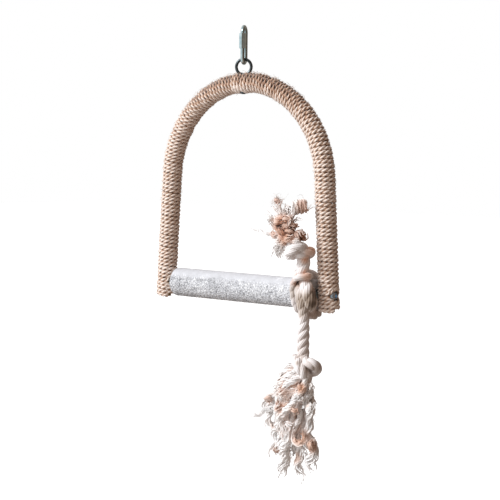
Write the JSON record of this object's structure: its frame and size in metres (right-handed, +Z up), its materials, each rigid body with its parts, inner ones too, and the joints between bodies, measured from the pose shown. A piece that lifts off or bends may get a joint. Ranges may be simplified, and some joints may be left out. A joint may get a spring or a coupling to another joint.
{
  "type": "bird swing",
  "caption": "Hanging bird swing: a twine-wrapped arch on an eye bolt and screw link, with a rough round perch and a knotted cotton rope.",
  "frame": {"origin": "the hang point: the inside top of the quick link's upper bow, where a hook or cage wire bears", "axes": "+X along the perch toward the end with the rope, +Z up"},
  "size_m": [0.235, 0.0645, 0.4505],
  "materials": {
    "zinc_steel": "satin",
    "dark_steel": "satin",
    "blue_zinc": "satin",
    "cane": "matte",
    "sisal": "matte",
    "mineral": "matte",
    "cotton": "matte"
  },
  "bodies": {
    "link": {"quick_link": "zinc_steel"},
    "sleeve": {"link_sleeve": "zinc_steel"},
    "swing": {"eye_bolt": "dark_steel", "crown_washer": "dark_steel", "crown_lock_nut": "dark_steel", "arch_cane": "cane", "crown_wrap": "sisal", "left_leg_winding": "sisal", "right_leg_winding": "sisal", "left_foot_wrap": "sisal", "right_foot_wrap": "sisal", "perch": "mineral", "perch_rod": "zinc_steel", "left_perch_sleeve": "zinc_steel", "right_perch_sleeve": "zinc_steel", "left_perch_screw": "blue_zinc", "right_perch_screw": "blue_zinc", "rope_hitch": "cotton", "rope_upper_end": "cotton", "upper_knot": "cotton", "upper_tuft": "cotton"},
    "tail": {"rope_tail": "cotton", "lower_knot": "cotton", "lower_tassel": "cotton"}
  },
  "joints": [
    {"name": "sleeve_travel", "type": "slide", "parent": "link", "child": "sleeve", "axis": [0, 0, -1], "range_m": [0, 0.008]},
    {"name": "arch_swing", "type": "hinge", "parent": "link", "child": "swing", "pos_m": [0, 0, -0.0302], "axis": [1, 0, 0], "range_deg": [-40, 40]},
    {"name": "rope_swing", "type": "hinge", "parent": "swing", "child": "tail", "pos_m": [0.0959, -0.0213, -0.28014], "axis": [1, 0, 0], "range_deg": [-35, 35]}
  ]
}
